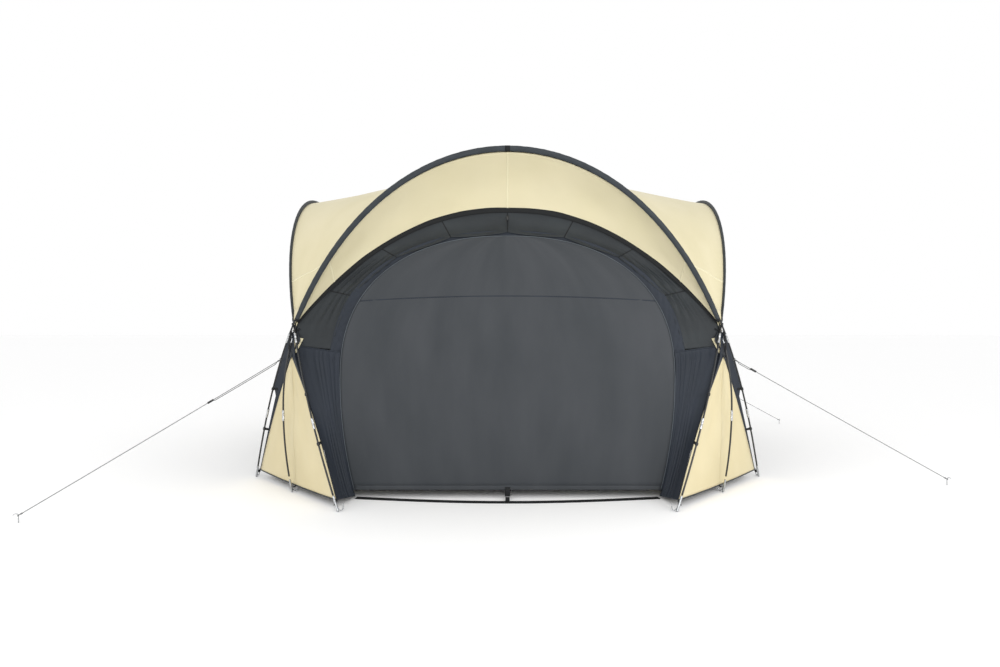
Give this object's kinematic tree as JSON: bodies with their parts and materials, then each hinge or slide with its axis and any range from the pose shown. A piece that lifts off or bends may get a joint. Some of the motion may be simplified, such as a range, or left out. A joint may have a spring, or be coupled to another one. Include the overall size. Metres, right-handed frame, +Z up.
{
  "type": "dome shelter",
  "caption": "Free-standing square dome shelter with leaning pole arches, a tan roof with visors, dark cloth walls with arched doors, and guy lines.",
  "frame": {"origin": "on the ground, below the crown, at the middle of the base", "axes": "+Z up, -Y towards the front wall, +X towards the right wall"},
  "size_m": [6.1822, 4.3422, 2.55],
  "materials": {
    "roof_cloth": "coated tan polyester, matt",
    "wall_cloth": "charcoal polyester, matt",
    "door_cloth": "charcoal polyester, matt",
    "patch_cloth": "dark grey reinforcement cloth",
    "webbing": "black woven webbing",
    "cord": "grey braided cord",
    "pole": "black pultruded glass fibre",
    "plastic": "black moulded plastic",
    "steel": "bright steel pole ends",
    "peg_steel": "bright steel wire"
  },
  "bodies": {
    "shelter": {"roof_gore_front": "roof_cloth", "visor_front": "roof_cloth", "wall_frame_front": "wall_cloth", "ground_strap_front": "webbing", "arch_pole_front": "pole", "foot_front_arch_left": "steel", "foot_front_arch_right": "steel", "roof_gore_right": "roof_cloth", "visor_right": "roof_cloth", "wall_frame_right": "wall_cloth", "ground_strap_right": "webbing", "arch_pole_right": "pole", "foot_right_arch_left": "steel", "foot_right_arch_right": "steel", "roof_gore_back": "roof_cloth", "visor_back": "roof_cloth", "wall_frame_back": "wall_cloth", "ground_strap_back": "webbing", "arch_pole_back": "pole", "foot_back_arch_left": "steel", "foot_back_arch_right": "steel", "roof_gore_left": "roof_cloth", "visor_left": "roof_cloth", "wall_frame_left": "wall_cloth", "ground_strap_left": "webbing", "arch_pole_left": "pole", "foot_left_arch_left": "steel", "foot_left_arch_right": "steel", "corner_panel_front_left": "roof_cloth", "hub_patch_front_left": "patch_cloth", "foot_ridge_front_left": "steel", "guy_line_front_left": "cord", "peg_front_left": "peg_steel", "corner_panel_front_right": "roof_cloth", "hub_patch_front_right": "patch_cloth", "foot_ridge_front_right": "steel", "guy_line_front_right": "cord", "peg_front_right": "peg_steel", "corner_panel_back_right": "roof_cloth", "hub_patch_back_right": "patch_cloth", "foot_ridge_back_right": "steel", "guy_line_back_right": "cord", "peg_back_right": "peg_steel", "corner_panel_back_left": "roof_cloth", "hub_patch_back_left": "patch_cloth", "foot_ridge_back_left": "steel", "guy_line_back_left": "cord", "peg_back_left": "peg_steel", "ridge_pole_upper": "pole", "ridge_pole_lower": "pole"},
    "door_front": {"door_front": "door_cloth"},
    "door_right": {"door_right": "door_cloth"},
    "door_back": {"door_back": "door_cloth"},
    "door_left": {"door_left": "door_cloth"},
    "tensioner_front_left": {"tensioner_front_left": "plastic"},
    "tensioner_front_right": {"tensioner_front_right": "plastic"},
    "tensioner_back_right": {"tensioner_back_right": "plastic"},
    "tensioner_back_left": {"tensioner_back_left": "plastic"}
  },
  "joints": [
    {"name": "door_front_lift", "type": "hinge", "parent": "shelter", "child": "door_front", "pos_m": [0, -1.51493, 1.805], "axis": [-1, 0, 0], "range_deg": [0, 90]},
    {"name": "door_right_lift", "type": "hinge", "parent": "shelter", "child": "door_right", "pos_m": [1.51493, 0, 1.805], "axis": [0, -1, 0], "range_deg": [0, 90]},
    {"name": "door_back_lift", "type": "hinge", "parent": "shelter", "child": "door_back", "pos_m": [0, 1.51493, 1.805], "axis": [1, 0, 0], "range_deg": [0, 90]},
    {"name": "door_left_lift", "type": "hinge", "parent": "shelter", "child": "door_left", "pos_m": [-1.51493, 0, 1.805], "axis": [0, 1, 0], "range_deg": [0, 90]},
    {"name": "tensioner_front_left_slide", "type": "slide", "parent": "shelter", "child": "tensioner_front_left", "axis": [-0.7509, -0.4099, -0.5178], "range_m": [-0.35, 0.35]},
    {"name": "tensioner_front_right_slide", "type": "slide", "parent": "shelter", "child": "tensioner_front_right", "axis": [0.8727, 0.0625, -0.4842], "range_m": [-0.05, 0.45]},
    {"name": "tensioner_back_right_slide", "type": "slide", "parent": "shelter", "child": "tensioner_back_right", "axis": [0.8727, -0.0625, -0.4842], "range_m": [-0.05, 0.45]},
    {"name": "tensioner_back_left_slide", "type": "slide", "parent": "shelter", "child": "tensioner_back_left", "axis": [-0.7509, 0.4099, -0.5178], "range_m": [-0.35, 0.35]}
  ]
}
